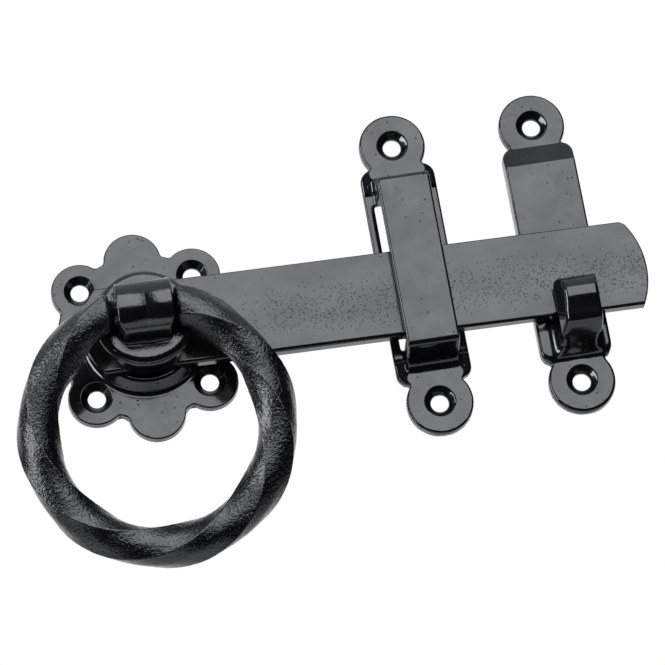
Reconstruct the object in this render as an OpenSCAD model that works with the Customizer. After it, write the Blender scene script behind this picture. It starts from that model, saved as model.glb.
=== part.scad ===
// Ring gate latch, seen from the inside face of the gate.
// +X runs along the bar towards the catch, +Z is up, the front faces -Y.
// The back of every plate lies on the gate plane Y = 0, and the origin is the
// spindle's axis on that plane. All sizes are in millimetres.

/* [Screw holes] */
// Diameter of the screw holes
screw_hole_d = 5.4; // [4:0.1:6]
// Diameter of each countersink at the front face
sink_d = 9.4; // [8:0.1:11]
// Slope of the cast walls, in degrees
wall_draft = 2.5; // [1:0.5:12]

/* [Rose plate] */
// Distance between the screw holes, both ways
rose_pitch = 34; // [28:0.1:42]
// Thickness of the plate
rose_t = 2.8; // [2:0.1:5]
// How far the round body reaches past the middles of the screw holes
body_over = 1.86; // [1:0.02:4]
// Metal left round each countersink in the lobes of the plate
lobe_wall = 3.8; // [3:0.1:5]
// Radius of the plain top and bottom lobes
end_lobe_r = 8.6; // [7:0.1:9]
// Gap between the countersinks and the foot of the raised seat
seat_gap = 0.84; // [0.3:0.01:2]
// How far the raised seat widens towards its foot
seat_foot = 2.9; // [0:0.1:4]

/* [Latch bar] */
// Distance from the spindle to the tip of the bar
bar_reach = 151.3; // [125:0.1:182]
// Width of the bar
bar_w = 26.9; // [22:0.1:33]
// Thickness of the bar
bar_t = 4.4; // [3:0.1:6]
// Gap from the heel of the bar to the countersinks, as seen from the front
heel_gap = 0.44; // [0.2:0.02:2]
// Radius of the curved tip
bar_tip_r = 26; // [22:1:40]
// How far the tip's highest point lies below the middle of the bar
bar_tip_drop = 2; // [0:0.5:4]
// Angle by which the resting bar slopes down to its tip
bar_sag = 1.1; // [0:0.1:2]
// Gap between the back of the bar and the raised middle of the catch
bar_behind = 1.4; // [0.4:0.1:2.5]

/* [Boss and knuckle] */
// Width of the rounded shoulder of the flange
rim_round = 2.7; // [1.5:0.1:3.5]
// Height of the flange's straight rim above the bar
flange_rim_h = 5.7; // [4:0.1:8]
// Height of the rounded shoulder
shoulder_h = 3; // [2:0.1:4]
// Flat left outside the corners of the knuckle
face_margin = 0.81; // [0.2:0.01:2]
// Wall of the knuckle's barrel round its pin
barrel_wall = 4.44; // [3:0.01:5.5]
// Width of the knuckle
barrel_w = 16.5; // [13:0.1:20]
// Gap between the ring's ridges and the flat face as the ring swings
swing_gap = 0.4; // [0.2:0.1:2]
// Size of the cuts across the knuckle's lower corners, across and up
knuckle_cut = [1.7, 2.6];

/* [Ring handle] */
// Radius of the ring's centre line
ring_r = 35; // [29:0.1:42]
// How far the pin's axis lies above the centre line of a full circle
pin_above = 0.4; // [-1:0.1:1.5]
// How far the two ends are drawn up to meet the pin
end_rise = 1.6; // [0:0.1:3]
// Distance of the four ridges from the centre line
ridge_r = 6.6; // [5:0.1:7.9]
// Distance of the middle of each face from the ridges' circle
face_hollow = 0.55; // [0.2:0.05:1.2]
// Arc of the ring in which the square bar turns a quarter, in degrees
quarter_arc = 46.9; // [30:0.1:90]
// Place of the first ridge on the outer edge, in degrees from the knuckle
first_ridge = 45; // [0:1:90]
// Gap between the knuckle and each end of the ring when it hangs in the middle
end_clear = 1.3; // [1:0.05:4]
// How far the resting ring has slid along its pin, away from the keep
ring_slide = 0.7; // [0:0.1:0.8]
// Radius of the round pin that the knuckle holds
pin_r = 3.5; // [2.9:0.1:4.2]
// Radial running clearance of the pin in the knuckle
pin_play = 0.06; // [0.03:0.01:0.1]
// Gap between the lower end of the resting ring and the gate
ring_gap = 3.27; // [1:0.01:8]

/* [Spindle] */
// Side of the square spindle
spindle_side = 8; // [6.6:0.1:9.6]
// How far the turned corners fall short of a sharp square
corner_cut = 0.157; // [0.05:0.001:0.6]
// Radial running clearance of the spindle in the rose plate
spindle_play = 0.06; // [0.03:0.01:0.1]
// Thickness of the gate between the rose plate and the washer
gate_t = 45; // [35:1:70]
// Length of the spindle that stands out past the split pin
spindle_tail = 8.7; // [3:0.1:20]
// Depth of the spindle's socket in the flange
socket_depth = 5; // [4:0.5:6]

/* [Washer and split pin] */
// Width of the washer's ring round the spindle
washer_rim = 4.35; // [3:0.05:8]
// Thickness of the washer
washer_t = 1.5; // [1:0.1:3]
// Diameter of the split pin
split_d = 2.8; // [2:0.1:3.2]
// How far the split pin's shank stands out on each side of the spindle
split_over = 2.5; // [1.5:0.1:5]

/* [Keep] */
// Distance between the middles of the keep and the catch
keep_spacing = 43.1; // [36:0.1:52]
// Gap between the resting bar and the lower leg of the bridge
keep_gap = 1.25; // [0.6:0.05:3]
// Room above the resting bar in which its end lifts
bar_lift = 18.65; // [15:0.05:23]
// Metal left round each countersink in the ears
ear_wall = 5.3; // [4:0.1:7]
// Thickness of the ears
ear_t = 3.6; // [3:0.1:5]
// Distance of the screws past the ends of the plate
ear_out = 6.65; // [5:0.05:9]
// Width of the keep at its front
keep_w = 22.6; // [21.5:0.1:26]
// Length of the flat between the bridge's foot and the end of the plate
foot_margin = 2.2; // [1:0.1:5]
// Radius of the plates' shoulders
shoulder_r = 3.6; // [2:0.1:4]
// Sideways slope of the keep's shoulders, in degrees
shoulder_slope = 18; // [5:1:24]
// Width of the window between the two rails
window_w = 17.2; // [16.5:0.1:19]
// Thickness of the rails
rail_t = 2.1; // [1.5:0.1:2.2]
// Distance of the rails' ends past the flat front of the bridge
rail_over = 1.7; // [0.5:0.1:4]
// Width of the bridge over the bar
bridge_w = 15.8; // [14:0.1:16.2]
// Thickness of the bridge
bridge_t = 4; // [3:0.1:5]
// Gap between the bar and the bridge
bridge_gap = 0.9; // [0.5:0.1:1.5]
// Radius of the bridge's outer bends
bend_r = 1.9; // [1:0.1:3]
// Radius of the fillets at the bridge's feet
foot_r = 3.7; // [2:0.1:4]
// Slope of the bridge's legs, in degrees from square
leg_lean = 10; // [4:1:14]

/* [Catch] */
// Length of the bar beyond the middle of the catch
tip_over = 24.7; // [18:0.1:32]
// Width of the catch at its front
catch_w = 21.4; // [20:0.1:25]
// Thickness of the catch's raised middle
catch_t = 6; // [5:0.1:7.5]
// Length of the ramp from the upper ear to the raised middle
ramp_len = 7; // [4:0.5:10]
// Thickness of the catch below the bar
catch_low_t = 4.6; // [4:0.1:5]
// Length of the slope that runs down from there to the lower ear
low_slope_len = 3; // [1:0.1:5]
// Gap between the resting bar and the hook's seat
hook_play = 0.3; // [0.2:0.1:0.6]
// Gap between the bar and the hook's nose
nose_gap = 1.5; // [1:0.1:3]
// Height of the nose above the hook's seat
nose_rise = 10.2; // [8:0.2:12]
// Thickness of the nose
nose_t = 9.1; // [8:0.1:11]
// Radius of the nose's rounded front
nose_r = 6.9; // [4:0.1:7.5]
// Thickness of the hook under the bar
hook_t = 5.5; // [4:0.1:6]
// Half of the hook's width at the back of the nose
hook_half = 6.4; // [6:0.1:8]
// Half of the hook's width at the front of the nose
nose_half = 5; // [4.5:0.1:6]
// Half of the width of the hook's neck under the bar
neck_half = 5.3; // [4.5:0.1:6]
// Radius of the flares at the foot of the hook's neck
flare_r = 4; // [2:0.1:4.5]
// Radius of the hollow in which the underside of the hook ends at the lower ear
hook_foot_r = 3; // [2:0.1:4]
// Angle by which the hook leans away from the keep
hook_lean = 6; // [0:0.5:8]

/* [Hidden] */
$fn = 96;

black = [0.06, 0.06, 0.065];
black_bar = [0.10, 0.10, 0.11];
black_ring = [0.04, 0.04, 0.045];
zinc = [0.62, 0.63, 0.65];

// Heights above the gate plane, from the back of the bar to the pin's axis
bar_back = catch_t + bar_behind;
bar_front = bar_back + bar_t;
rim_out = bar_front + flange_rim_h;
face_at = rim_out + shoulder_h;
pin_at = face_at + ridge_r + swing_gap;
bridge_in = bar_front + bridge_gap;
bridge_out = bridge_in + bridge_t;

over = 0.5;                                // how far a cutter runs past a face
sink_depth = (sink_d - screw_hole_d) / 2;  // a right-angled countersink
square_play = 0.05;                        // round the spindle's flats, each side

// The rose plate follows the circle on which its screws lie
screw_circle_r = rose_pitch / sqrt(2);
rose_body_r = screw_circle_r + body_over;
corner_lobe_r = sink_d / 2 + lobe_wall;
seat_r = screw_circle_r - sink_d / 2 - seat_gap - seat_foot;
seat_play = 0.2;
seat_h = bar_back - seat_play - rose_t;
bar_heel_r = screw_circle_r - sink_d / 2 - heel_gap;

// The flange carries the whole foot of the knuckle
barrel_r = pin_r + pin_play + barrel_wall;
face_r = norm([barrel_w / 2, barrel_r]) + face_margin;
flange_r = face_r + rim_round;

// The spindle reaches through the gate to the washer and the split pin behind it
spindle_corner_r = spindle_side / sqrt(2) - corner_cut;
bore_r = spindle_corner_r + spindle_play;
washer_at = gate_t + washer_t;
washer_hole_r = spindle_corner_r + 0.15;
split_at = washer_at + split_d / 2 + 0.1;
spindle_back = washer_at + split_d + spindle_tail;
split_len = spindle_side + 2 * split_over;

// The catch lies under the bar's tip, and the keep between it and the spindle
catch_x = bar_reach - tip_over;
keep_x = catch_x - keep_spacing;
function bar_low(x) = -bar_w / 2 / cos(bar_sag) - x * tan(bar_sag);

// The bridge's legs stand clear of the resting bar and of the lifted one
leg_half = (bar_w + keep_gap + bar_lift) / 2;
plate_rise = bar_low(keep_x) - keep_gap + leg_half;
bridge_half = leg_half + bridge_t - bend_r;
rail_half = bridge_half + rail_over;
ear_r = sink_d / 2 + ear_wall;

// The bend at the top of a leg, as [out, up], and the fillet at its foot
leg_turn = 90 - leg_lean;
bend_c = [bridge_out - bend_r, bridge_half];
leg_top = bend_c + bend_r * [cos(leg_turn), sin(leg_turn)];
leg_h = leg_top[0] - ear_t - foot_r * (1 - cos(leg_turn));
foot_c = [ear_t + foot_r, leg_top[1] + leg_h * tan(leg_lean) + foot_r * sin(leg_turn)];
plate_half = foot_c[1] + foot_margin;
ear_pitch = 2 * (plate_half + ear_out);

// The hook's seat lies just under the bar's lower edge
hook_end = hook_half + (bar_front + nose_gap) * tan(hook_lean);
seat_at = bar_low(catch_x + hook_end) - hook_play - plate_rise;
hook_under = seat_at - hook_t;

// Points along an arc about c, from angle a to angle b
function arc(c, r, a, b, n = 8) =
    [for (i = [0 : n]) c + r * [cos(a + (b - a) * i / n), sin(a + (b - a) * i / n)]];

// Turns a drawing so that its x is +X, its y is up and its height stands out
// of the gate plane towards the viewer
module outward() rotate([90, 0, 0]) children();

// A profile drawn as [out, up], given a width along X
module across(width) rotate([0, -90, 0])
    linear_extrude(width, center = true) children();

// A plan drawn as [x, out], given a length upwards
module upright(low, high) translate([0, high, 0]) rotate([90, 0, 0])
    linear_extrude(high - low) children();

// The moving parts lie at the bar's resting slope
module at_rest() rotate([0, bar_sag, 0]) outward() children();

// A round boss of plate whose wall slopes in towards the front
module lobe(r, t) cylinder(h = t, r1 = r + t * tan(wall_draft), r2 = r);

// Half of the outline of a wall pair that slopes in towards the front
function sloped(half, t) = let (foot = half + t * tan(wall_draft))
    [[-foot, 0], [foot, 0], [half, t], [-half, t]];

// A plate with rounded corners whose walls slope in towards the front
module sloped_plate(w, len, t, corner) {
    x_in = w / 2 - corner;
    y_in = len / 2 - corner;
    upright(-y_in, y_in) polygon(sloped(w / 2, t));
    rotate([0, 0, 90]) upright(-x_in, x_in) polygon(sloped(len / 2, t));
    for (x = [-x_in, x_in], y = [-y_in, y_in]) translate([x, y, 0]) lobe(corner, t);
}

// A countersunk screw hole through a plate
module screw_hole(t) {
    translate([0, 0, -over]) cylinder(h = t + 2 * over, d = screw_hole_d);
    translate([0, 0, t - sink_depth])
        cylinder(h = sink_depth + over, d1 = screw_hole_d, d2 = sink_d + 2 * over);
}

module rose_plate() color(black) outward() {
    corners = [for (x = [-1, 1], y = [-1, 1]) [x, y] * rose_pitch / 2];
    difference() {
        union() {
            lobe(rose_body_r, rose_t);
            for (c = corners) translate(c) lobe(corner_lobe_r, rose_t);
            for (y = [-1, 1]) translate([0, y * screw_circle_r, 0])
                lobe(end_lobe_r, rose_t);
            rotate_extrude() polygon([[0, 0], [seat_r + seat_foot, 0],
                [seat_r + seat_foot, rose_t], [seat_r, rose_t + seat_h],
                [0, rose_t + seat_h]]);
        }
        for (c = corners) translate(c) screw_hole(rose_t);
        translate([0, 0, -over])
            cylinder(h = rose_t + seat_h + 2 * over, r = bore_r);
    }
}

// Outline of the bar: a heel round the spindle and an off-centre curved tip
module bar_outline() {
    tip_c = [bar_reach - bar_tip_r, -bar_tip_drop];
    low = asin((-bar_w / 2 + bar_tip_drop) / bar_tip_r);
    high = asin((bar_w / 2 + bar_tip_drop - 0.9) / bar_tip_r);
    heel = asin(bar_w / 2 / bar_heel_r);
    polygon(concat(
        arc([0, 0], bar_heel_r, 180 - heel, 180 + heel, 24),
        arc(tip_c, bar_tip_r, low, high, 24),
        [tip_c + [bar_tip_r * cos(high) - 1.6, bar_w / 2 + bar_tip_drop]]));
}

module latch_bar() color(black_bar) at_rest() {
    side = spindle_side + 2 * square_play;
    translate([0, 0, bar_back]) difference() {
        linear_extrude(bar_t) bar_outline();
        translate([-side / 2, -side / 2, -over])
            cube([side, side, bar_t + 2 * over]);
    }
}

// Front view of the knuckle, square with its two lower corners cut off
module knuckle_outline() {
    w = barrel_w / 2;
    r = barrel_r;
    polygon([[-w, r], [-w, knuckle_cut[1] - r], [knuckle_cut[0] - w, -r],
             [w - knuckle_cut[0], -r], [w, knuckle_cut[1] - r], [w, r]]);
}

module ring_boss() color(black) at_rest() {
    side = spindle_side + 2 * square_play;
    difference() {
        union() {
            translate([0, 0, bar_front]) rotate_extrude() polygon(concat(
                [[0, 0], [flange_r, 0]],
                [for (i = [0 : 8]) [
                    face_r + (flange_r - face_r) * cos(90 * i / 8),
                    flange_rim_h + shoulder_h * sin(90 * i / 8)]],
                [[0, flange_rim_h + shoulder_h]]));
            intersection() {
                translate([0, 0, face_at - over])
                    linear_extrude(pin_at - face_at + barrel_r + 2 * over)
                        knuckle_outline();
                union() {
                    translate([-barrel_w / 2, 0, pin_at]) rotate([0, 90, 0])
                        cylinder(h = barrel_w, r = barrel_r);
                    translate([-barrel_w / 2, -barrel_r, face_at - over])
                        cube([barrel_w, 2 * barrel_r, pin_at - face_at + over]);
                }
            }
        }
        translate([-side / 2, -side / 2, bar_front - over])
            cube([side, side, socket_depth + over]);
        translate([-barrel_w / 2 - over, 0, pin_at]) rotate([0, 90, 0])
            cylinder(h = barrel_w + 2 * over, r = pin_r + pin_play);
    }
}

module spindle() color(zinc) at_rest() {
    tip = 1.2;
    front = bar_front + socket_depth - 0.1;
    difference() {
        intersection() {
            translate([-spindle_side / 2, -spindle_side / 2, -spindle_back])
                cube([spindle_side, spindle_side, spindle_back + front]);
            translate([0, 0, -spindle_back]) union() {
                cylinder(h = tip, r1 = spindle_corner_r - tip, r2 = spindle_corner_r);
                translate([0, 0, tip])
                    cylinder(h = spindle_back + front - tip, r = spindle_corner_r);
            }
        }
        translate([-spindle_side, 0, -split_at]) rotate([0, 90, 0])
            cylinder(h = 2 * spindle_side, d = split_d + 0.2, $fn = 48);
    }
}

module spindle_washer() color(zinc) at_rest() translate([0, 0, -washer_at])
    difference() {
        cylinder(h = washer_t, r = washer_hole_r + washer_rim);
        translate([0, 0, -over])
            cylinder(h = washer_t + 2 * over, r = washer_hole_r);
    }

module split_pin() color(zinc) at_rest() translate([0, 0, -split_at]) {
    leg_r = split_d / 4;
    eye_r = split_d * 0.75;
    half = split_len / 2;
    spread = 38;
    leg_len = 4.5;
    rotate([0, 90, 0]) translate([0, 0, -half])
        cylinder(h = split_len, d = split_d, $fn = 48);
    translate([-half - eye_r, 0, 0]) rotate_extrude($fn = 48)
        translate([eye_r, 0]) circle(r = leg_r, $fn = 24);
    for (side = [-1, 1]) translate([half - leg_r, side * leg_r, 0])
        rotate([0, 90, side * spread]) cylinder(h = leg_len, r = leg_r, $fn = 24);
}

// Distance of the twisted section's surface from the centre line, at an angle
// of a from a ridge: four faces, each an arc through two ridges
face_out = ridge_r - face_hollow;
face_mid = ridge_r * cos(45);
face_arc_r = (pow(ridge_r * sin(45), 2) + pow(face_out - face_mid, 2))
           / 2 / (face_out - face_mid);
face_arc_c = face_out - face_arc_r;
function section_r(a) = let (t = ((a % 90) + 90) % 90 - 45)
    face_arc_c * cos(t) + sqrt(pow(face_arc_r, 2) - pow(face_arc_c * sin(t), 2));

section_n = 24;       // points round the section
station_n = 76;       // full stations along the ring
end_n = 4;            // rounded stations at each thick end
end_len = 2;          // length of each rounded end
pin_sunk = 3;         // how far the pin runs into each thick end
rise_arc = 50;        // arc of the ring in which an end is drawn up to the pin
end_scale = (pin_r + 1.2) / ridge_r;       // size of the section at the very end
end_gap = barrel_w / 2 + end_clear;
end_arc = asin(end_gap / (ring_r + end_rise));
ring_drop = ring_r + pin_above;
ring_lean = asin((pin_at - ridge_r - ring_gap) / (ring_drop + ring_r));

function end_size(t) = end_scale + (1 - end_scale) * sin(90 * t);

// Radius of the centre line at s degrees from the knuckle
function centre_r(s) = let (
        t = max(0, (rise_arc - min(s, 360 - s)) / (rise_arc - end_arc)))
    ring_r + end_rise * t * t * (3 - 2 * t);

// Direction in which the section at s stands: straight across the pin at each
// end, so that the ends face the knuckle squarely, and towards the ring's middle
// over the rest
function section_turn(s) = let (near = min(s, 360 - s),
        turn = near < rise_arc
            ? (near - end_arc) * rise_arc / (rise_arc - end_arc) : near)
    s < 180 ? turn : 360 - turn;

// Each station is [angle from the knuckle, scale of the section]
turn_end = end_len / ring_r * 180 / PI;
stations = concat(
    [for (i = [0 : end_n - 1]) let (t = i / end_n)
        [end_arc + turn_end * (1 - cos(90 * t)), end_size(t)]],
    [for (i = [0 : station_n]) [end_arc + turn_end
        + (360 - 2 * end_arc - 2 * turn_end) * i / station_n, 1]],
    [for (i = [end_n - 1 : -1 : 0]) let (t = i / end_n)
        [360 - end_arc - turn_end * (1 - cos(90 * t)), end_size(t)]]);

// A point of the ring from the pin's axis: its angle s runs anticlockwise from
// the knuckle as seen from the front, and b round the section from its outer
// edge to the front
function ring_point(s, scale, b) = let (
        ridge = (s - first_ridge) * 90 / quarter_arc,
        rho = scale * section_r(b - ridge),
        c = centre_r(s),
        turn = section_turn(s))
    [-c * sin(s) - rho * cos(b) * sin(turn),
     c * cos(s) + rho * cos(b) * cos(turn) - ring_drop, rho * sin(b)];

module ring_handle() color(black_ring) at_rest()
    translate([-ring_slide, 0, pin_at]) rotate([ring_lean, 0, 0]) {
        last = len(stations) - 1;
        points = [for (st = stations, k = [0 : section_n - 1])
            ring_point(st[0], st[1], 360 * k / section_n
                + (st[0] - first_ridge) * 90 / quarter_arc)];
        sides = [for (i = [0 : last - 1], k = [0 : section_n - 1], half = [0, 1])
            let (m = (k + 1) % section_n, a = i * section_n, b = a + section_n)
            half == 0 ? [a + k, b + m, b + k] : [a + k, a + m, b + m]];
        far = last * section_n;
        caps = [for (k = [1 : section_n - 2]) each [
            [0, k + 1, k], [far, far + k, far + k + 1]]];
        polyhedron(points, concat(sides, caps), convexity = 6);
        translate([-end_gap - pin_sunk, 0, 0]) rotate([0, 90, 0])
            cylinder(h = 2 * (end_gap + pin_sunk), r = pin_r);
    }

// Ears with screw holes above and below a plate of the given thickness
module ears() for (y = [-1, 1]) translate([0, y * ear_pitch / 2, 0]) lobe(ear_r, ear_t);
module ear_holes() for (y = [-1, 1]) translate([0, y * ear_pitch / 2, 0]) screw_hole(ear_t);

// Side view of the bridge's upper half, from its outer foot over to the middle
module bridge_profile() polygon(concat(
    [[0, foot_c[1]]],
    arc(foot_c, foot_r, 180, 180 + leg_turn),
    arc(bend_c, bend_r, leg_turn, 0),
    [[bridge_out, 0], [bridge_in, 0], [bridge_in, leg_half - 1],
     [bridge_in - 1, leg_half], [0, leg_half]]));

// Cuts away what stands above a slope that falls to both sides of the bridge
module shoulder_cut() for (x = [0, 1]) mirror([x, 0, 0])
    upright(-plate_half - over, plate_half + over) polygon([
        [bridge_w / 2, ear_t], [bridge_w / 2, ear_t + over],
        [bridge_w / 2 + keep_w, ear_t + over],
        [bridge_w / 2 + keep_w, ear_t - keep_w * tan(shoulder_slope)]]);

module keep() color(black) outward() translate([keep_x, plate_rise, 0]) {
    rail_w = keep_w + 2 * over + ear_t;
    difference() {
        union() {
            ears();
            difference() {
                sloped_plate(keep_w, 2 * plate_half, ear_t, shoulder_r);
                intersection() {
                    shoulder_cut();
                    translate([-rail_w, -2 * plate_half, rail_t])
                        cube([2 * rail_w, 4 * plate_half, ear_t]);
                }
                translate([-rail_w / 2, -rail_half, rail_t])
                    cube([rail_w, 2 * rail_half, ear_t]);
            }
            for (y = [0, 1]) mirror([0, y, 0]) across(bridge_w) bridge_profile();
        }
        ear_holes();
        translate([-window_w / 2, -leg_half, -over])
            cube([window_w, 2 * leg_half, ear_t + 2 * over]);
    }
}

// Side view of the hook as [out, up]: a seat under the bar, a nose that swells
// in front of it and a concave foot that runs down to the lower ear
module hook_profile() {
    nose_back = bar_front + nose_gap;
    nose_front = nose_back + nose_t;
    top = seat_at + nose_rise;
    swell_r = 3.6;
    swell_turn = 35;
    neck_front = nose_front - swell_r * (1 - cos(swell_turn));
    neck_step = 1.2;
    neck_r = 3.4;

    // The underside is the straight line that touches both the neck's lower
    // corner and the hollow at its foot
    neck_c = [neck_front - neck_step - neck_r, hook_under + neck_r];
    hollow_c = [ear_t + 0.85 * hook_foot_r, -plate_half - hook_foot_r / 2];
    line = neck_c - hollow_c;
    under = atan2(line[1], line[0]) + acos((neck_r + hook_foot_r) / norm(line));
    polygon(concat(
        [[1, seat_at]],
        arc([nose_back - 1, seat_at + 1], 1, -90, 0, 4),
        arc([nose_back + 2, top - 2], 2, 180, 90, 5),
        arc([nose_front - nose_r, top - nose_r], nose_r, 90, 0, 12),
        arc([nose_front - swell_r, top - nose_r], swell_r, 0, -swell_turn, 5),
        arc(neck_c, neck_r, 0, under - 180, 8),
        arc(hollow_c, hook_foot_r, under, 150, 8),
        [[1, -plate_half]]));
}

// Plan of the hook as [x, out]: flared at the plate, a narrow neck and a nose
// that narrows to its front. It leans away from the keep.
module hook_plan() {
    nose_back = bar_front + nose_gap;
    flare_c = [neck_half + flare_r, catch_low_t + flare_r];
    side = concat(
        [[neck_half + flare_r, 0]],
        arc(flare_c, flare_r, 270, 180, 8),
        [[neck_half, bar_front - over], [hook_half, nose_back],
         [nose_half, nose_back + nose_t + over]]);
    lean = tan(hook_lean);
    polygon(concat(
        [for (p = side) [p[0] + p[1] * lean, p[1]]],
        [for (i = [len(side) - 1 : -1 : 0])
            [-side[i][0] + side[i][1] * lean, side[i][1]]]));
}

module catch() color(black) outward() translate([catch_x, plate_rise, 0])
    difference() {
        union() {
            ears();
            intersection() {
                sloped_plate(catch_w, 2 * plate_half, catch_t, shoulder_r);
                across(catch_w + 2 * catch_t) polygon([
                    [0, -plate_half - over], [0, plate_half + over],
                    [ear_t, plate_half + over], [ear_t, plate_half],
                    [catch_t, plate_half - ramp_len],
                    [catch_t, seat_at + bar_t], [catch_low_t, seat_at],
                    [catch_low_t, low_slope_len - plate_half],
                    [ear_t, -plate_half], [ear_t, -plate_half - over]]);
            }
            intersection() {
                across(catch_w) hook_profile();
                upright(-plate_half, plate_half) hook_plan();
            }
        }
        ear_holes();
    }

rose_plate();
latch_bar();
ring_boss();
spindle();
ring_handle();
spindle_washer();
split_pin();
keep();
catch();
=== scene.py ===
# %% [markdown]
# # A ring gate latch in gloss black
# This latch hangs on the inside face of a gate. A twisted ring turns a spindle,
# the spindle lifts a flat bar, and the bar drops behind the hook of a catch on
# the post. Every solid piece already exists at its real size, so this lesson
# takes the pieces as they are and gives them what a drawing of sizes lacks: the
# soft edges of a casting, a hammered twist and a thick coat of black enamel.
#
# The first cell loads the pieces. They come in metres, +X runs along the bar,
# +Z is up and the front of the latch faces -Y.

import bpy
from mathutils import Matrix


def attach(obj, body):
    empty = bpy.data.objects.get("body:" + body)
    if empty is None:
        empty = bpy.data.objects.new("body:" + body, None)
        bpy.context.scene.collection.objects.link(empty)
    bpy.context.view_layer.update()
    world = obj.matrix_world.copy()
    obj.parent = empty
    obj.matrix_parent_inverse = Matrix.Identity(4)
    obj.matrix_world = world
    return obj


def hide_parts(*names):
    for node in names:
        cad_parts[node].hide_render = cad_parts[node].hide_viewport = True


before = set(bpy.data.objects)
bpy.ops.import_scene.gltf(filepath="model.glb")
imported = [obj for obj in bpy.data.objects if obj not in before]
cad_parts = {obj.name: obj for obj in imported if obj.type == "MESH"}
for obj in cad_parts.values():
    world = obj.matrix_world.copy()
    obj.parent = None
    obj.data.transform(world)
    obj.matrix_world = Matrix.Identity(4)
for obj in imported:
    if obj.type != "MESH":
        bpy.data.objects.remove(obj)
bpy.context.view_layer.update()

# %% Tools and units
from math import asin, atan2, cos, degrees, hypot, pi, radians, sin

import bmesh
import bpy
from mathutils import Matrix, Vector, noise

MM = 0.001
scene = bpy.context.scene

# %% [markdown]
# ## The photographer's camera
# The picture was taken from a little below the latch, with a long lens that
# keeps parallel lines almost parallel. The camera comes first, so that every
# later step can be looked at in the right frame. Its angles are written as
# three small turns, because that is how a photographer would correct them: tip
# up, roll, and step to the side.

# %% Place the camera
IMAGE = 665
FOCUS = 4501
tip_up, step_aside, roll = -0.32944537, 0.09750474, 0.17949057
move = Vector((-56.12398, -1.89736, -1344.16245)) * MM

camera = bpy.data.objects.new("camera", bpy.data.cameras.new("camera"))
scene.collection.objects.link(camera)
scene.camera = camera
camera.data.sensor_width = 36
camera.data.lens = 36 * FOCUS / IMAGE
look = (Matrix.Rotation(roll, 3, "Z") @ Matrix.Rotation(tip_up, 3, "X")
        @ Matrix.Rotation(step_aside, 3, "Y"))
upright = Matrix(((1, 0, 0), (0, 0, 1), (0, -1, 0)))
turn = (look @ upright).transposed()
camera.matrix_world = Matrix.Translation(turn @ -move) @ turn.to_4x4()
print("camera at", [round(c, 3) for c in camera.matrix_world.translation], "m")

# %% [markdown]
# ## A white room with two lamps
# Black gloss has almost no colour of its own, so it shows the room. The flats
# of this latch are mid grey because one large soft box stands in front of them,
# and their undersides are black because the room below is dark. Thin edges shine
# because they mirror the white paper behind the latch, and a narrow strip on the
# left draws the bright streaks along the ring's ridges.
#
# A painted backdrop could do this, but it would stand in the way of views from
# behind. The world does it instead: the camera sees plain white, reflections
# that leave towards the back see the same white, and everything else sees a dim
# room with a lighter ceiling. Only light paths are asked for, never the place of
# the camera.

# %% A helper that adds a shader node and sets its sockets by name
def add_node(tree, kind, sockets=None, **settings):
    made_node = tree.nodes.new(kind)
    for key, value in settings.items():
        setattr(made_node, key, value)
    for key, value in (sockets or {}).items():
        made_node.inputs[key].default_value = value
    return made_node


def join(tree, source, target):
    tree.links.new(source, target)


# %% Build the dim room with its white paper
ROOM = (0.016, 0.017, 0.019, 1)
CEILING = (0.62, 0.64, 0.67, 1)

world = bpy.data.worlds.new("white_room")
scene.world = world
world.use_nodes = True
room = world.node_tree
room.nodes.clear()
towards = add_node(room, "ShaderNodeTexCoord")
split = add_node(room, "ShaderNodeSeparateXYZ")
join(room, towards.outputs["Generated"], split.inputs[0])
up = add_node(room, "ShaderNodeMapRange", {"From Min": 0.55, "From Max": 0.8},
              interpolation_type="SMOOTHSTEP")
join(room, split.outputs["Z"], up.inputs["Value"])
colour = add_node(room, "ShaderNodeMix", data_type="RGBA")
colour.inputs[6].default_value = ROOM
colour.inputs[7].default_value = CEILING
join(room, up.outputs[0], colour.inputs[0])
dim = add_node(room, "ShaderNodeBackground")
join(room, colour.outputs[2], dim.inputs["Color"])
paper = add_node(room, "ShaderNodeBackground", {"Color": (1, 1, 1, 1)})
print("the room has", len(room.nodes), "nodes so far")

# %% Who sees the white paper
path = add_node(room, "ShaderNodeLightPath")
behind = add_node(room, "ShaderNodeMapRange", {"From Min": 0.45, "From Max": 0.8},
                  interpolation_type="SMOOTHSTEP")
join(room, split.outputs["Y"], behind.inputs["Value"])
mirror_ray = add_node(room, "ShaderNodeMath", operation="MULTIPLY")
join(room, path.outputs["Is Glossy Ray"], mirror_ray.inputs[0])
join(room, behind.outputs[0], mirror_ray.inputs[1])
sees_paper = add_node(room, "ShaderNodeMath", operation="MAXIMUM")
join(room, path.outputs["Is Camera Ray"], sees_paper.inputs[0])
join(room, mirror_ray.outputs[0], sees_paper.inputs[1])
blend = add_node(room, "ShaderNodeMixShader")
join(room, sees_paper.outputs[0], blend.inputs[0])
join(room, dim.outputs[0], blend.inputs[1])
join(room, paper.outputs[0], blend.inputs[2])
room_out = add_node(room, "ShaderNodeOutputWorld")
join(room, blend.outputs[0], room_out.inputs["Surface"])
print("the room is built")

# %% [markdown]
# Both lamps are area lamps. A lamp's brightness is given as what a mirror would
# show, and its power follows from that and its size. The large one is placed by
# the bearing and height at which the flats of the latch mirror it. The strip is
# brighter and narrow, so that it shows only where the ring turns to the left.

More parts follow.
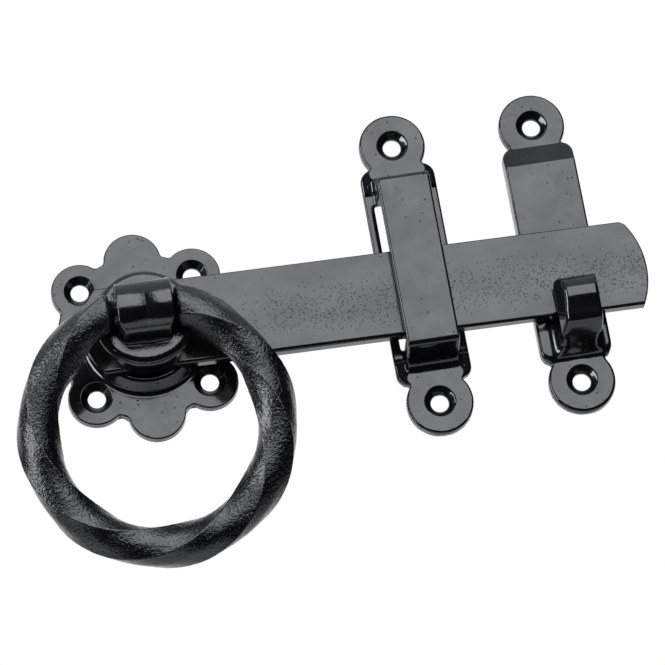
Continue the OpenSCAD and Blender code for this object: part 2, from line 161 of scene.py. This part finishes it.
# %% Hang the soft box and the strip
def soft_box(name, bearing, height, distance, size, brightness):
    b, h = radians(bearing), radians(height)
    towards_lamp = Vector((sin(b) * cos(h), -cos(b) * cos(h), sin(h)))
    lamp = bpy.data.lights.new(name, "AREA")
    lamp.shape = "RECTANGLE"
    lamp.size, lamp.size_y = size
    lamp.energy = brightness * pi * size[0] * size[1]
    lamp.color = (0.965, 1.0, 1.02)
    hung = bpy.data.objects.new(name, lamp)
    scene.collection.objects.link(hung)
    hung.location = Vector((0.055, 0, -0.01)) + towards_lamp * distance
    hung.rotation_mode = "QUATERNION"
    hung.rotation_quaternion = (-towards_lamp).to_track_quat("-Z", "Y")
    return hung


soft_box("key_box", 8, 21.5, 1.5, (1.7, 1.5), 3.65)
soft_box("left_strip", -66, 4, 1.2, (0.42, 1.1), 11.0)

# %% [markdown]
# A pale floor lies well below and behind the latch. It takes the latch's shadow, and the
# camera sees it mixed with white, so that it fades into the paper. It is part of the studio
# and not of the latch, so it is not attached to any of the latch's bodies.

# %% Lay the floor
floor_mesh = bmesh.new()
bmesh.ops.create_grid(floor_mesh, x_segments=1, y_segments=1, size=0.9)
bmesh.ops.translate(floor_mesh, verts=floor_mesh.verts, vec=(0.05, 0.7, -0.75))
floor_data = bpy.data.meshes.new("floor")
floor_mesh.to_mesh(floor_data)
floor_mesh.free()
floor = bpy.data.objects.new("floor", floor_data)
scene.collection.objects.link(floor)
floor_paint = bpy.data.materials.new("floor_paint")
floor_paint.use_nodes = True
tree = floor_paint.node_tree
matt = tree.nodes["Principled BSDF"]
matt.inputs["Base Color"].default_value = (0.85, 0.85, 0.85, 1)
matt.inputs["Roughness"].default_value = 0.9
glow = add_node(tree, "ShaderNodeEmission", {"Color": (1, 1, 1, 1), "Strength": 1.0})
seen = add_node(tree, "ShaderNodeLightPath")
part = add_node(tree, "ShaderNodeMath", {1: 0.75}, operation="MULTIPLY")
join(tree, seen.outputs["Is Camera Ray"], part.inputs[0])
mixed = add_node(tree, "ShaderNodeMixShader")
join(tree, part.outputs[0], mixed.inputs[0])
join(tree, matt.outputs[0], mixed.inputs[1])
join(tree, glow.outputs[0], mixed.inputs[2])
join(tree, mixed.outputs[0], tree.nodes["Material Output"].inputs["Surface"])
floor_data.materials.append(floor_paint)
print("floor", round(floor.dimensions.x, 2), "m wide")

# %% [markdown]
# ## What the enamel does on iron
# The latch is dipped or sprayed in black enamel. Three things make it look like
# paint and not like plastic: long shallow ripples where the paint flowed, fine
# grain from the iron below, and pin holes where gas came out of rolled steel.
#
# Each of the three is a node group, because several finishes use it with other
# values. A group puts out only heights and masks. The shader stays in the
# finish itself, so that each finish can be read from top to bottom.

# %% A helper that opens a group with named sockets
def open_group(name, inputs, outputs):
    group = bpy.data.node_groups.new(name, "ShaderNodeTree")
    for label, kind, value in inputs:
        socket = group.interface.new_socket(label, in_out="INPUT",
                                            socket_type="NodeSocket" + kind)
        if kind == "Float":
            socket.default_value = value
    for label in outputs:
        group.interface.new_socket(label, in_out="OUTPUT",
                                   socket_type="NodeSocketFloat")
    return group, group.nodes.new("NodeGroupInput"), group.nodes.new("NodeGroupOutput")


def scale_from(group, width):
    """A noise's scale, from the width of its lumps in mm."""
    per_metre = add_node(group, "ShaderNodeMath", {0: 1000.0}, operation="DIVIDE")
    join(group, width, per_metre.inputs[1])
    return per_metre.outputs[0]


# %% [markdown]
# Ripples and grain are the same thing at two sizes: a smooth noise whose height
# is given in millimetres. A bump of a known height over a known width keeps its
# slope when the picture is rendered closer, which is what decides how a gloss
# breaks up.

# %% Group: enamel skin
skin, skin_in, skin_out = open_group(
    "enamel_skin",
    [("Place", "Vector", None), ("Ripple width", "Float", 7.0),
     ("Ripple height", "Float", 0.02), ("Grain width", "Float", 0.8),
     ("Grain height", "Float", 0.004)],
    ["Height"])
ripple = add_node(skin, "ShaderNodeTexNoise", {"Detail": 1.0, "Roughness": 0.4})
grain = add_node(skin, "ShaderNodeTexNoise", {"Detail": 3.0, "Roughness": 0.6})
tall = add_node(skin, "ShaderNodeMath", operation="MULTIPLY")
fine = add_node(skin, "ShaderNodeMath", operation="MULTIPLY_ADD")
for lumps, label in ((ripple, "Ripple width"), (grain, "Grain width")):
    join(skin, skin_in.outputs["Place"], lumps.inputs["Vector"])
    join(skin, scale_from(skin, skin_in.outputs[label]), lumps.inputs["Scale"])
join(skin, ripple.outputs["Fac"], tall.inputs[0])
join(skin, skin_in.outputs["Ripple height"], tall.inputs[1])
join(skin, grain.outputs["Fac"], fine.inputs[0])
join(skin, skin_in.outputs["Grain height"], fine.inputs[1])
join(skin, tall.outputs[0], fine.inputs[2])
join(skin, fine.outputs[0], skin_out.inputs["Height"])
print(skin.name, "puts out", [s.name for s in skin_out.inputs if s.name])

# %% [markdown]
# A pin hole is a dot where the coat is missing. Cells scattered through space
# give each dot its place, a random number in each cell says whether it has one,
# and the distance to the cell's middle draws it. A plane cuts some cells near
# their middle and others near their rim, so the dots come in all sizes.

# %% Group: pin holes
holes, holes_in, holes_out = open_group(
    "pin_holes",
    [("Place", "Vector", None), ("Spacing", "Float", 1.0),
     ("Share", "Float", 0.3), ("Size", "Float", 0.35)],
    ["Hole"])
cells = add_node(holes, "ShaderNodeTexVoronoi", {"Randomness": 1.0})
join(holes, holes_in.outputs["Place"], cells.inputs["Vector"])
join(holes, scale_from(holes, holes_in.outputs["Spacing"]), cells.inputs["Scale"])
dot = add_node(holes, "ShaderNodeMapRange", {"From Min": 0.0, "To Min": 1.0,
                                             "To Max": 0.0},
               interpolation_type="SMOOTHSTEP")
join(holes, cells.outputs["Distance"], dot.inputs["Value"])
join(holes, holes_in.outputs["Size"], dot.inputs["From Max"])
pick = add_node(holes, "ShaderNodeSeparateColor")
join(holes, cells.outputs["Color"], pick.inputs[0])
chosen = add_node(holes, "ShaderNodeMath", operation="LESS_THAN")
join(holes, pick.outputs[0], chosen.inputs[0])
join(holes, holes_in.outputs["Share"], chosen.inputs[1])
kept = add_node(holes, "ShaderNodeMath", operation="MULTIPLY")
join(holes, dot.outputs[0], kept.inputs[0])
join(holes, chosen.outputs[0], kept.inputs[1])
join(holes, kept.outputs[0], holes_out.inputs["Hole"])
print(holes.name, "puts out", [s.name for s in holes_out.inputs if s.name])

# %% [markdown]
# Handling leaves a faint haze. It is a broad, soft cloud between two values,
# stretched along one direction if the piece was wiped or rolled that way, and
# it thins the coat's shine by a few parts in a hundred.

# %% Group: haze
haze, haze_in, haze_out = open_group(
    "haze",
    [("Place", "Vector", None), ("Width", "Float", 12.0), ("Low", "Float", 0.85),
     ("High", "Float", 1.0)],
    ["Value"])
cloud = add_node(haze, "ShaderNodeTexNoise", {"Detail": 4.0, "Roughness": 0.65})
join(haze, haze_in.outputs["Place"], cloud.inputs["Vector"])
join(haze, scale_from(haze, haze_in.outputs["Width"]), cloud.inputs["Scale"])
spread = add_node(haze, "ShaderNodeMapRange", {"From Min": 0.3, "From Max": 0.7})
join(haze, cloud.outputs["Fac"], spread.inputs["Value"])
join(haze, haze_in.outputs["Low"], spread.inputs["To Min"])
join(haze, haze_in.outputs["High"], spread.inputs["To Max"])
join(haze, spread.outputs[0], haze_out.inputs["Value"])
print(haze.name, "puts out", [s.name for s in haze_out.inputs if s.name])

# %% [markdown]
# ## The black finishes
# Every black finish is built in the same way: a nearly black, dull body, and a
# clear coat over it that gives all of the shine. The coat is the right tool,
# because its weight can be taken away at a pin hole. The dull body is left
# there, and that is the dark dot that the eye sees on the bar.
#
# The castings, the bar and the ring then differ in their ripples, their grain
# and their holes.

# %% A black enamel with its own ripples, grain and holes
def use_group(tree, group, place, **values):
    used = add_node(tree, "ShaderNodeGroup", node_tree=group)
    join(tree, place, used.inputs["Place"])
    for label, value in values.items():
        used.inputs[label.replace("_", " ")].default_value = value
    return used


HOLE_HEIGHT = -0.03  # mm: a pin hole sinks below the skin


def black_enamel(name, body, gloss, skin_values, hole_values, haze_values,
                 pattern_turn=(0, 0, 0), stretch=(1, 1, 1)):
    finish = bpy.data.materials.new(name)
    finish.use_nodes = True
    tree = finish.node_tree
    shader = tree.nodes["Principled BSDF"]
    shader.inputs["Specular IOR Level"].default_value = 0.04
    shader.inputs["Coat IOR"].default_value = 1.6
    shader.inputs["Coat Roughness"].default_value = gloss
    where = add_node(tree, "ShaderNodeTexCoord")
    lay = add_node(tree, "ShaderNodeMapping", {"Rotation": pattern_turn})
    join(tree, where.outputs["Object"], lay.inputs["Vector"])
    drawn = add_node(tree, "ShaderNodeMapping", {"Scale": stretch})
    join(tree, lay.outputs[0], drawn.inputs["Vector"])

    relief = use_group(tree, skin, drawn.outputs[0], **skin_values)
    dots = use_group(tree, holes, lay.outputs[0], **hole_values)
    cloudy = use_group(tree, haze, drawn.outputs[0], **haze_values)

    sunk = add_node(tree, "ShaderNodeMath", {1: HOLE_HEIGHT},
                    operation="MULTIPLY_ADD")
    join(tree, dots.outputs["Hole"], sunk.inputs[0])
    join(tree, relief.outputs["Height"], sunk.inputs[2])
    bump = add_node(tree, "ShaderNodeBump", {"Strength": 1.0, "Distance": MM})
    join(tree, sunk.outputs[0], bump.inputs["Height"])
    join(tree, bump.outputs[0], shader.inputs["Normal"])
    join(tree, bump.outputs[0], shader.inputs["Coat Normal"])

    whole = add_node(tree, "ShaderNodeMath", {0: 1.0}, operation="SUBTRACT")
    join(tree, dots.outputs["Hole"], whole.inputs[1])
    coat = add_node(tree, "ShaderNodeMath", operation="MULTIPLY")
    join(tree, whole.outputs[0], coat.inputs[0])
    join(tree, cloudy.outputs["Value"], coat.inputs[1])
    join(tree, coat.outputs[0], shader.inputs["Coat Weight"])

    dull = add_node(tree, "ShaderNodeMapRange", {"To Min": 0.62, "To Max": 0.36})
    join(tree, cloudy.outputs["Value"], dull.inputs["Value"])
    join(tree, dull.outputs[0], shader.inputs["Roughness"])
    tint = add_node(tree, "ShaderNodeMix", data_type="RGBA")
    tint.inputs[6].default_value = (*body, 1)
    tint.inputs[7].default_value = (*[c * 1.9 for c in body], 1)
    join(tree, dots.outputs["Hole"], tint.inputs[0])
    join(tree, tint.outputs[2], shader.inputs["Base Color"])
    return finish, dots


BODY = (0.0020, 0.0021, 0.0023)
cast_black, _ = black_enamel(
    "cast_black", BODY, 0.10,
    dict(Ripple_width=6.0, Ripple_height=0.035, Grain_width=0.8, Grain_height=0.010),
    dict(Spacing=1.3, Share=0.12, Size=0.36),
    dict(Width=9.0, Low=0.72, High=1.0))
boss_black, _ = black_enamel(
    "boss_black", BODY, 0.09,
    dict(Ripple_width=3.2, Ripple_height=0.030, Grain_width=0.7, Grain_height=0.05),
    dict(Spacing=1.2, Share=0.05, Size=0.28),
    dict(Width=6.0, Low=0.85, High=1.0))
ring_black, _ = black_enamel(
    "ring_black", BODY, 0.07,
    dict(Ripple_width=1.6, Ripple_height=0.06, Grain_width=0.8, Grain_height=0.26),
    dict(Spacing=1.1, Share=0.10, Size=0.35),
    dict(Width=5.0, Low=0.75, High=1.0))
print("finishes:", cast_black.name, boss_black.name, ring_black.name)

# %% [markdown]
# The bar is rolled steel. Its pin holes lie in a band just below its middle, and
# its upper and lower thirds are almost clean. The finish is the same enamel,
# drawn out along the bar, with the share of holes set from the height on the bar
# instead of being one number. The bar rests at a slope of 1.1 degrees, so the
# pattern is turned by as much.

# %% The bar's enamel and its band of pin holes
SAG = radians(1.1)
bar_black, bar_dots = black_enamel(
    "bar_black", (0.0030, 0.0031, 0.0032), 0.13,
    dict(Ripple_width=7.0, Ripple_height=0.028, Grain_width=0.7, Grain_height=0.006),
    dict(Spacing=0.62, Share=0.3, Size=0.56),
    dict(Width=10.0, Low=0.74, High=1.0),
    pattern_turn=(0, -SAG, 0), stretch=(0.45, 1, 1))
tree = bar_black.node_tree
lay = next(n for n in tree.nodes if n.bl_idname == "ShaderNodeMapping")
on_bar = add_node(tree, "ShaderNodeSeparateXYZ")
join(tree, lay.outputs[0], on_bar.inputs[0])
below = add_node(tree, "ShaderNodeMath", {1: 1.6 * MM}, operation="ADD")
join(tree, on_bar.outputs["Z"], below.inputs[0])
away = add_node(tree, "ShaderNodeMath", operation="ABSOLUTE")
join(tree, below.outputs[0], away.inputs[0])
band = add_node(tree, "ShaderNodeMapRange",
                {"From Min": 1.5 * MM, "From Max": 9.5 * MM, "To Min": 0.95, "To Max": 0.0},
                interpolation_type="SMOOTHSTEP")
join(tree, away.outputs[0], band.inputs["Value"])
start = add_node(tree, "ShaderNodeMapRange",
                 {"From Min": 20 * MM, "From Max": 52 * MM},
                 interpolation_type="SMOOTHSTEP")
join(tree, on_bar.outputs["X"], start.inputs["Value"])
patches = use_group(tree, haze, lay.outputs[0], Width=14.0, Low=0.2, High=1.2)
share = add_node(tree, "ShaderNodeMath", operation="MULTIPLY")
join(tree, band.outputs[0], share.inputs[0])
join(tree, start.outputs[0], share.inputs[1])
patchy = add_node(tree, "ShaderNodeMath", operation="MULTIPLY")
join(tree, share.outputs[0], patchy.inputs[0])
join(tree, patches.outputs["Value"], patchy.inputs[1])
few = add_node(tree, "ShaderNodeMath", {1: 0.015}, operation="ADD")
join(tree, patchy.outputs[0], few.inputs[0])
join(tree, few.outputs[0], bar_dots.inputs["Share"])
print("the bar's finish has", len(tree.nodes), "nodes")

# %% [markdown]
# ## Bright zinc behind the gate
# The spindle, its washer and the split pin are bought in bright zinc plate. Zinc
# is a metal with fine drawing lines and dull, slightly blue clouds where the
# plating bath left them. Lines are noise squeezed thin across the spindle and
# long along it, and clouds are the haze group again, now driving the roughness.

# %% Zinc plate
zinc = bpy.data.materials.new("zinc_plate")
zinc.use_nodes = True
tree = zinc.node_tree
shader = tree.nodes["Principled BSDF"]
shader.inputs["Metallic"].default_value = 1.0
where = add_node(tree, "ShaderNodeTexCoord")
dull = use_group(tree, haze, where.outputs["Object"], Width=5.0, Low=0.22, High=0.42)
join(tree, dull.outputs["Value"], shader.inputs["Roughness"])
stain = use_group(tree, haze, where.outputs["Object"], Width=9.0, Low=0.0, High=1.0)
plate = add_node(tree, "ShaderNodeMix", data_type="RGBA")
plate.inputs[6].default_value = (0.56, 0.58, 0.62, 1)
plate.inputs[7].default_value = (0.68, 0.67, 0.62, 1)
join(tree, stain.outputs["Value"], plate.inputs[0])
join(tree, plate.outputs[2], shader.inputs["Base Color"])
drawn = add_node(tree, "ShaderNodeMapping", {"Scale": (1, 0.04, 1)})
join(tree, where.outputs["Object"], drawn.inputs["Vector"])
lines = use_group(tree, skin, drawn.outputs[0], Ripple_width=0.5, Ripple_height=0.004,
                  Grain_width=0.15, Grain_height=0.002)
bump = add_node(tree, "ShaderNodeBump", {"Strength": 1.0, "Distance": MM})
join(tree, lines.outputs["Height"], bump.inputs["Height"])
join(tree, bump.outputs[0], shader.inputs["Normal"])
for name in ("spindle", "spindle_washer", "split_pin"):
    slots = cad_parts[name].data.materials
    slots.clear()
    slots.append(zinc)
print("zinc on the spindle, its washer and the split pin")

# %% [markdown]
# ## A casting's soft edges
# Malleable iron leaves its mould with no sharp edge anywhere, and paint rounds what is left.
# On a glossy black part these small rounds are what the eye reads: each one runs through
# every direction, so it shows a dark line and then a thin bright one. A shader could fake
# the line, but a real bevel also holds in the outline and in the mesh itself.
#
# A piece arrives as loose triangles. Its corners are merged, flat areas are
# dissolved into single faces, and each sharp edge is given its own width as a
# bevel weight. One Bevel modifier then rounds them all.

# %% Copy a piece and clean its mesh
WIDEST = 2.0 * MM


def merged_copy(node_name):
    made = bmesh.new()
    made.from_mesh(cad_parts[node_name].data)
    loose = len(made.verts)
    bmesh.ops.remove_doubles(made, verts=made.verts, dist=1e-6)
    bmesh.ops.dissolve_limit(made, angle_limit=radians(0.5), verts=made.verts,
                             edges=made.edges, delimit=set())
    print(node_name, "went from", loose, "loose corners to", len(made.verts))
    return made


# %% Give each sharp edge its width
def set_rounds(made, width_of, sharpest=24):
    """width_of is asked for a width in mm at a place: x, distance out, z."""
    weight = made.edges.layers.float.get("bevel_weight_edge") or \
        made.edges.layers.float.new("bevel_weight_edge")
    count = 0
    for edge in made.edges:
        if len(edge.link_faces) != 2 or edge.calc_face_angle(0) < radians(sharpest):
            continue
        edge.smooth = False
        middle = (edge.verts[0].co + edge.verts[1].co) / 2 / MM
        width = width_of(middle.x, -middle.y, middle.z, edge.is_convex)
        if width > 0:
            edge[weight] = width * MM / WIDEST
            count += 1
    print(count, "edges are rounded")


# %% Turn a mesh into a finished piece
def finish_piece(made, name, body, finish, stands_for, rounds=0):
    for face in made.faces:
        face.smooth = True
    data = bpy.data.meshes.new(name)
    made.to_mesh(data)
    made.free()
    piece = bpy.data.objects.new(name, data)
    scene.collection.objects.link(piece)
    data.materials.append(finish)
    if rounds:
        bevel = piece.modifiers.new("rounds", "BEVEL")
        bevel.limit_method = "WEIGHT"
        bevel.width = WIDEST
        bevel.segments = rounds
        bevel.profile = 0.5
        bevel.use_clamp_overlap = False
        bevel.harden_normals = True
        bevel.miter_outer = "MITER_ARC"
    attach(piece, body)
    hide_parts(stands_for)
    print(name, "has", len(data.polygons), "faces before its rounds")
    return piece


# %% [markdown]
# ## The rose plate
# The rose is a thin cast flower with four countersunk holes and a raised seat in
# its middle. Its back lies flat on the gate, so the edges there stay sharp. The
# outer rim has a small round, the countersinks only a trace of paint on their
# rims, and the foot of the seat is filled out as a moulder would fill it.
#
# One fault is left here. The plate's front goes round the seat as a single face
# with many corners, and once the foot is rounded, that face folds over inside the
# seat and across the bore, where it cuts the spindle. It can't be seen from the
# front, but it is in the mesh. Splitting that face before its rounds may cure it.

# %% Round the rose plate
def near_any(x, z, middles, reach):
    return any(hypot(x - a, z - b) < reach for a, b in middles)


rose_screws = [(a, b) for a in (-17, 17) for b in (-17, 17)]


def rose_width(x, out, z, convex):
    if out < 0.1 or hypot(x, z) < 8:
        return 0
    if near_any(x, z, rose_screws, 4.9):
        return 0.22 if out > 2 else 0
    if not convex:
        return 1.1
    return 0.7 if hypot(x, z) < 17 else 0.5


rose = merged_copy("rose_plate")
set_rounds(rose, rose_width)
finish_piece(rose, "rose_plate_cast", "plates", cast_black,
             "rose_plate", 3)

# %% [markdown]
# ## The latch bar
# The bar is cut from rolled strip. The rolls leave its long edges well rounded,
# and the enamel hangs a little heavier on the lower one.

# %% Round the bar
def bar_width(x, out, z, convex):
    if hypot(x, z) < 8:
        return 0
    if 8 < out < 11:
        return 0
    along_bottom = z + x * sin(SAG) < -13.2 and 20 < x < 140
    return 1.3 if along_bottom else 0.6


bar = merged_copy("latch_bar")
set_rounds(bar, bar_width)
finish_piece(bar, "latch_bar_strip", "latch", bar_black, "latch_bar", 4)

# %% [markdown]
# ## The boss and its knuckle
# The knuckle is the hinge of the ring. It was cast in two halves of a mould, and
# where they met a fine line runs round the middle of the barrel. Two cuts on
# each side of the middle leave a narrow strip of new corners there, and the
# middle ones are pressed in towards the pin. A line drawn in the colour would be
# quicker, but it wouldn't catch the light.

# %% Press the mould's line into the knuckle
PIN_OUT = 27.5
LINE_WIDTH, LINE_DEPTH = 0.26, 0.11
LINE_FROM, LINE_TO = -62, 24  # degrees round the barrel, from straight out
boss = merged_copy("ring_boss")
along_pin = Matrix.Rotation(SAG, 3, "Y") @ Vector((1, 0, 0))
for offset in (-LINE_WIDTH / 2, 0.0, LINE_WIDTH / 2):
    front = [f for f in boss.faces if -f.calc_center_median().y > 22 * MM]
    edges = {e for f in front for e in f.edges}
    verts = {v for f in front for v in f.verts}
    bmesh.ops.bisect_plane(boss, geom=list(verts) + list(edges) + front,
                           plane_co=along_pin * offset * MM, plane_no=along_pin,
                           dist=1e-7)
pressed = 0
for vert in boss.verts:
    local = Matrix.Rotation(-SAG, 3, "Y") @ vert.co / MM
    rise, out = local.z, -local.y - PIN_OUT
    around = degrees(atan2(rise, out))
    if abs(local.x) < 0.01 and hypot(rise, out) > 7 and LINE_FROM < around < LINE_TO:
        inward = Matrix.Rotation(SAG, 3, "Y") @ Vector((0, out, -rise))
        vert.co += inward.normalized() * LINE_DEPTH * MM
        pressed += 1
print(pressed, "corners make the mould's line")


# %% Round the boss
def boss_width(x, out, z, convex):
    if out < 12.2 or hypot(z, out - PIN_OUT) < 4.2:
        return 0
    if abs(x) < 0.3:
        return 0
    return 0.55 if convex else 1.0


set_rounds(boss, boss_width)
finish_piece(boss, "ring_boss_cast", "latch", boss_black,
             "ring_boss", 3)

# %% [markdown]
# ## The keep and the catch, cast again
# On these two castings a bridge and a hook grow out of a plate in hollow flares,
# with screw ears and steps close by. Bevels get in each other's way where so
# many edges meet, and a casting has no such edges: the sand and the enamel melt
# them all together.
#
# So the two are cast again. A voxel remesh turns the solid into an even skin of
# small squares, and smoothing that skin melts its edges. The more passes a place
# gets, the rounder it becomes, so a function says how many passes each place
# gets: few on the thin rails and round the screws, many on the bridge and hook.

# %% A mould that melts edges
def cast_again(node_name, passes_at, skin_size=0.38):
    solid = merged_copy(node_name)
    data = bpy.data.meshes.new("pattern")
    solid.to_mesh(data)
    solid.free()
    pattern = bpy.data.objects.new("pattern", data)
    scene.collection.objects.link(pattern)
    remesh = pattern.modifiers.new("skin", "REMESH")
    remesh.mode = "VOXEL"
    remesh.voxel_size = skin_size * MM
    ready = pattern.evaluated_get(bpy.context.evaluated_depsgraph_get())
    made = bmesh.new()
    made.from_mesh(ready.to_mesh())
    ready.to_mesh_clear()
    bpy.data.objects.remove(pattern)
    bpy.data.meshes.remove(data)

    passes = {v: passes_at(v.co.x / MM, -v.co.y / MM, v.co.z / MM) for v in made.verts}
    for count in range(int(max(passes.values()))):
        soft = [v for v in made.verts if passes[v] > count]
        bmesh.ops.smooth_vert(made, verts=soft, factor=0.5, use_axis_x=True,
                              use_axis_y=True, use_axis_z=True)
    print(node_name, "has a skin of", len(made.faces), "squares")
    return made


def between(value, low, high, at_low, at_high):
    share = max(0.0, min(1.0, (value - low) / (high - low)))
    return at_low + (at_high - at_low) * share


# %% The keep
def keep_passes(x, out, z):
    return between(out, 2, 8, 6, 10)


keep = cast_again("keep", keep_passes)
finish_piece(keep, "keep_cast", "plates", cast_black, "keep")

# %% [markdown]
# The hook is the piece that the bar strikes each time the gate falls shut. The
# foundry makes it stout and round, so it gets the most passes of all.

# %% The catch
CATCH_X, PLATE_Z, EAR = 126.6, 7.1, 41.36


def catch_passes(x, out, z):
    on_screw = hypot(x - CATCH_X, z - PLATE_Z + EAR) < 7
    if on_screw or z > PLATE_Z - 16:
        return 5
    return between(out, 1.6, 8, 8, 30)


catch = cast_again("catch", catch_passes)
finish_piece(catch, "catch_cast", "plates", cast_black, "catch")

# %% [markdown]
# ## The twisted ring
# The ring began as a square bar. The smith twisted it hot, bent it round and
# flattened its ends for the pin. Its four faces are slightly hollowed towards
# the ridges, and the hammer and the sand left it pebbly all over.
#
# A section is carried round the ring by extruding its edge loop, turning the new
# loop about its own middle for the twist and about the ring's middle for the
# bend. A curve with a bevel object could carry a section too, but it could
# neither twist it by a measured amount nor close down the ends.
#
# The cell below gives the section: four nearly round faces that rise to a crisp
# ridge only close to their corners.

# %% The section of the twisted bar
RING_R, RING_DROP = 35.0, 35.4
RIDGE_R, FACE_OUT = 6.6, 5.85
CRISP = 3.0


def section_radius(angle):
    from_face = abs(degrees(angle) % 90 - 45) / 45
    return FACE_OUT + (RIDGE_R - FACE_OUT) * from_face ** CRISP


print("ridges", RIDGE_R, "mm, faces", round(section_radius(radians(45)), 2), "mm")

# %% Where each loop goes, and how large it is there
QUARTER, FIRST_RIDGE = 46.9, 45.0
END_GAP, END_LEN, END_SCALE = 9.55, 2.0, 4.7 / 6.6
END_RISE, RISE_ARC = 1.6, 50.0
STEPS, AROUND = 340, 88

first = degrees(asin(END_GAP / (RING_R + END_RISE)))
turn_end = degrees(END_LEN / RING_R)
ends = [(first + turn_end * (1 - cos(radians(90 * t / 6))),
         END_SCALE + (1 - END_SCALE) * sin(radians(90 * t / 6))) for t in range(6)]
whole_turn = 360 - 2 * first - 2 * turn_end
stations = ends + [(first + turn_end + whole_turn * i / STEPS, 1)
                   for i in range(STEPS + 1)]
stations += [(360 - s, k) for s, k in reversed(ends)]
print(len(stations), "loops from", round(first, 1), "to", round(360 - first, 1), "degrees")

# %% Carry the section round the ring
ring = bmesh.new()
ring_middle = Vector((0, -PIN_OUT, -RING_DROP)) * MM
top = ring_middle + Vector((0, 0, RING_R)) * MM
bmesh.ops.create_circle(ring, segments=AROUND, radius=1, cap_ends=False)
for vert in ring.verts:
    b = atan2(vert.co.y, vert.co.x)
    rho = section_radius(b) * MM
    vert.co = top + Vector((0, 0, 1)) * rho * cos(b) + Vector((0, -1, 0)) * rho * sin(b)

rim = list(ring.edges)
place, twist, size = 0.0, 0.0, 1.0
loops = []
for s, k in stations:
    if loops:
        grown = bmesh.ops.extrude_edge_only(ring, edges=rim)["geom"]
        rim = [g for g in grown if isinstance(g, bmesh.types.BMEdge)
               and all(v not in loops[-1] for v in g.verts)]
    verts = list({v for e in rim for v in e.verts})
    here = Matrix.Rotation(-radians(place), 3, "Y")
    middle = ring_middle + here @ Vector((0, 0, RING_R)) * MM
    new_twist = radians((s - FIRST_RIDGE) * 90 / QUARTER)
    bmesh.ops.rotate(ring, verts=verts, cent=middle,
                     matrix=Matrix.Rotation(new_twist - twist, 3, here @ Vector((1, 0, 0))))
    bmesh.ops.scale(ring, verts=verts, vec=Vector((1, 1, 1)) * k / size,
                    space=Matrix.Translation(-middle))
    bmesh.ops.rotate(ring, verts=verts, cent=ring_middle,
                     matrix=Matrix.Rotation(-radians(s - place), 3, "Y"))
    place, twist, size = s, new_twist, k
    loops.append(set(verts))
bmesh.ops.holes_fill(ring, edges=[e for e in ring.edges if e.is_boundary], sides=0)
print("the ring has", len(ring.faces), "faces")

# %% [markdown]
# The two ends are drawn up until they stand square to the knuckle. Each loop
# near an end is lifted outwards and turned about its own middle, most at the
# very end and not at all past fifty degrees.

# %% Draw up the two ends
for loop, (s, k) in zip(loops, stations):
    near = min(s, 360 - s)
    if near >= RISE_ARC:
        continue
    t = (RISE_ARC - near) / (RISE_ARC - first)
    out = Matrix.Rotation(-radians(s), 3, "Y") @ Vector((0, 0, 1))
    lifted = ring_middle + out * (RING_R + END_RISE * t * t * (3 - 2 * t)) * MM
    bmesh.ops.translate(ring, verts=list(loop), vec=lifted - ring_middle - out * RING_R * MM)
    square = near - (near - first) * RISE_ARC / (RISE_ARC - first)
    side = 1 if s < 180 else -1
    bmesh.ops.rotate(ring, verts=list(loop), cent=lifted,
                     matrix=Matrix.Rotation(radians(side * square), 3, "Y"))
print("ends stand", END_GAP, "mm from the middle of the knuckle")

# %% [markdown]
# Now the hammer. Broad shallow dents and smaller pebbles are pressed into the
# faces along their normals. They are real shape, because on gloss they decide
# where the lamp breaks up, and the outline shows them too. They are only ever
# pressed in, from a skin taken off all over, so the ring stays clear of its boss.
# An extruded tube can come out with its faces turned inwards, which would press
# every dent outwards, so the faces are turned the right way first.

# %% Hammer the ring
SKIM, PEBBLE, DENT = 0.05 * MM, 0.09 * MM, 0.14 * MM
bmesh.ops.recalc_face_normals(ring, faces=ring.faces)
pushes = {}
for vert in ring.verts:
    at = vert.co / MM
    pebble = noise.fractal(at * 0.9, 1.0, 2.2, 3, noise_basis="PERLIN_NEW")
    dent = noise.noise(at * 0.13 + Vector((7, 3, 5)), noise_basis="PERLIN_NEW")
    pushes[vert] = (SKIM + PEBBLE * (0.5 + 0.5 * max(-1, min(1, pebble * 1.6)))
                    + DENT * (0.5 + 0.5 * dent))
for vert, push in pushes.items():
    vert.co -= vert.normal * push
print("deepest blow", round(max(pushes.values()) / MM, 2), "mm")

# %% Add the pin, hang the ring and finish it
lying = Matrix.Rotation(radians(90), 4, "Y")
bmesh.ops.create_cone(ring, cap_ends=True, segments=64, radius1=3.5 * MM,
                      radius2=3.5 * MM, depth=2 * (END_GAP + 3) * MM,
                      matrix=Matrix.Translation((0, -PIN_OUT * MM, 0)) @ lying)
RING_SLIDE, RING_GAP = 0.7, 3.27
RING_LEAN = asin((PIN_OUT - RIDGE_R - RING_GAP) / (RING_DROP + RING_R))
bmesh.ops.rotate(ring, verts=ring.verts, cent=(0, -PIN_OUT * MM, 0),
                 matrix=Matrix.Rotation(RING_LEAN, 3, "X"))
bmesh.ops.translate(ring, verts=ring.verts, vec=(-RING_SLIDE * MM, 0, 0))
bmesh.ops.rotate(ring, verts=ring.verts, cent=(0, 0, 0),
                 matrix=Matrix.Rotation(SAG, 3, "Y"))
bmesh.ops.recalc_face_normals(ring, faces=ring.faces)
finish_piece(ring, "ring_twisted", "ring", ring_black, "ring_handle")
print("the ring leans back", round(degrees(RING_LEAN), 1), "degrees")

# %% [markdown]
# ## The view
# The standard view keeps colours as they are written. The rounds fill hollow corners by up
# to 0.6 mm.

# %% The view and the end
scene.view_settings.view_transform = "Standard"
